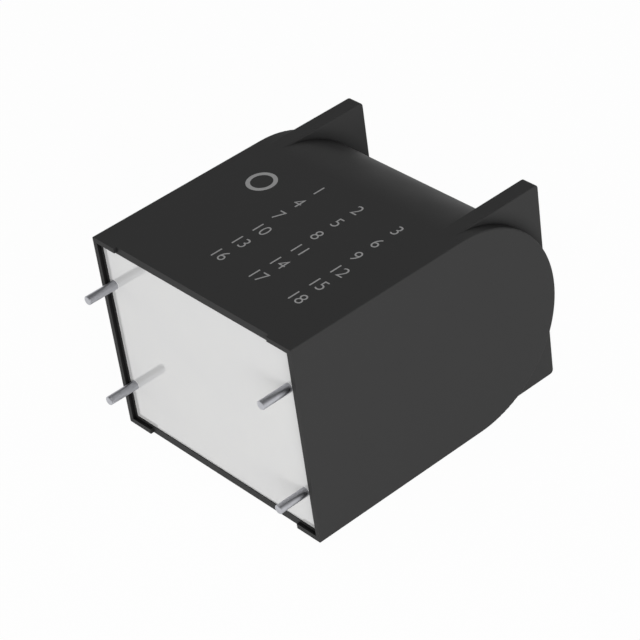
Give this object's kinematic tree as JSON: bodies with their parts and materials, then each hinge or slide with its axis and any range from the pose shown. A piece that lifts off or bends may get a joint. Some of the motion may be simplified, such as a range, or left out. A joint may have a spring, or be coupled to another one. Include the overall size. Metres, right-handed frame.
{
  "type": "box film capacitor",
  "caption": "Box film capacitor: moulded rectangular case with a round closed end squared off by end ribs, resin-sealed mouth with corner feet, and round leads for a circuit board.",
  "frame": {"origin": "middle of the lead pattern on the seating plane, which is the plane of the four corner feet", "axes": "+X along the length of the box, +Y from the board to the round closed end so that the leads point to -Y, +Z out of the printed broad face; the part lies on its other broad face"},
  "size_m": [0.0576, 0.0712, 0.045],
  "materials": {
    "case": "moulded, satin black",
    "resin": "cast, glossy white",
    "film": "wound metallised film",
    "spray": "sprayed zinc, grainy",
    "lead": "tinned, bright",
    "solder": "soldered, satin"
  },
  "bodies": {
    "root": {"case": "case", "potting_resin": "resin", "film_winding": "film", "end_spray_left": "spray", "end_spray_right": "spray", "lead_left_top": "lead", "lead_left_bottom": "lead", "lead_right_top": "lead", "lead_right_bottom": "lead", "solder_joint_left_top": "solder", "solder_joint_left_bottom": "solder", "solder_joint_right_top": "solder", "solder_joint_right_bottom": "solder"}
  },
  "joints": []
}
